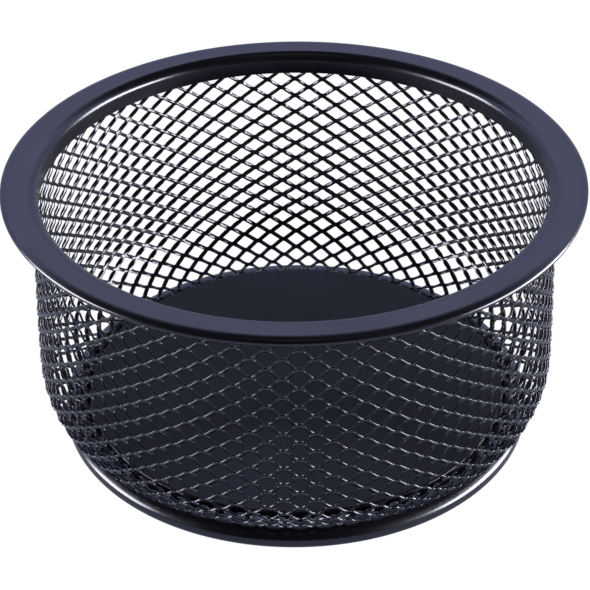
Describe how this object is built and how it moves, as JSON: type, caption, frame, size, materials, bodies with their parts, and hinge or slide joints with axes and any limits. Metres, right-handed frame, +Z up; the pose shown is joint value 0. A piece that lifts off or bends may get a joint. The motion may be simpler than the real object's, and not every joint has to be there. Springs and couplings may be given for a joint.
{
  "type": "mesh paper clip holder",
  "caption": "Round desk bowl for paper clips: a barrel-shaped expanded-metal mesh wall under a wide flat steel rim, with a solid floor clamped over a pressed steel base.",
  "frame": {"origin": "centre of the base, on the surface that the holder stands on", "axes": "+Z up out of the bowl's mouth, along its axis of symmetry"},
  "size_m": [0.112, 0.112, 0.0541],
  "materials": {
    "rim_paint": "satin black powder coat with a faint blue cast",
    "mesh_paint": "semi-gloss black paint on the mesh strands",
    "floor_paint": "satin black powder coat",
    "base_paint": "satin black powder coat"
  },
  "bodies": {
    "root": {"rim_ring": "rim_paint", "mesh_wall": "mesh_paint", "floor_disc": "floor_paint", "base_pan": "base_paint"}
  },
  "joints": []
}
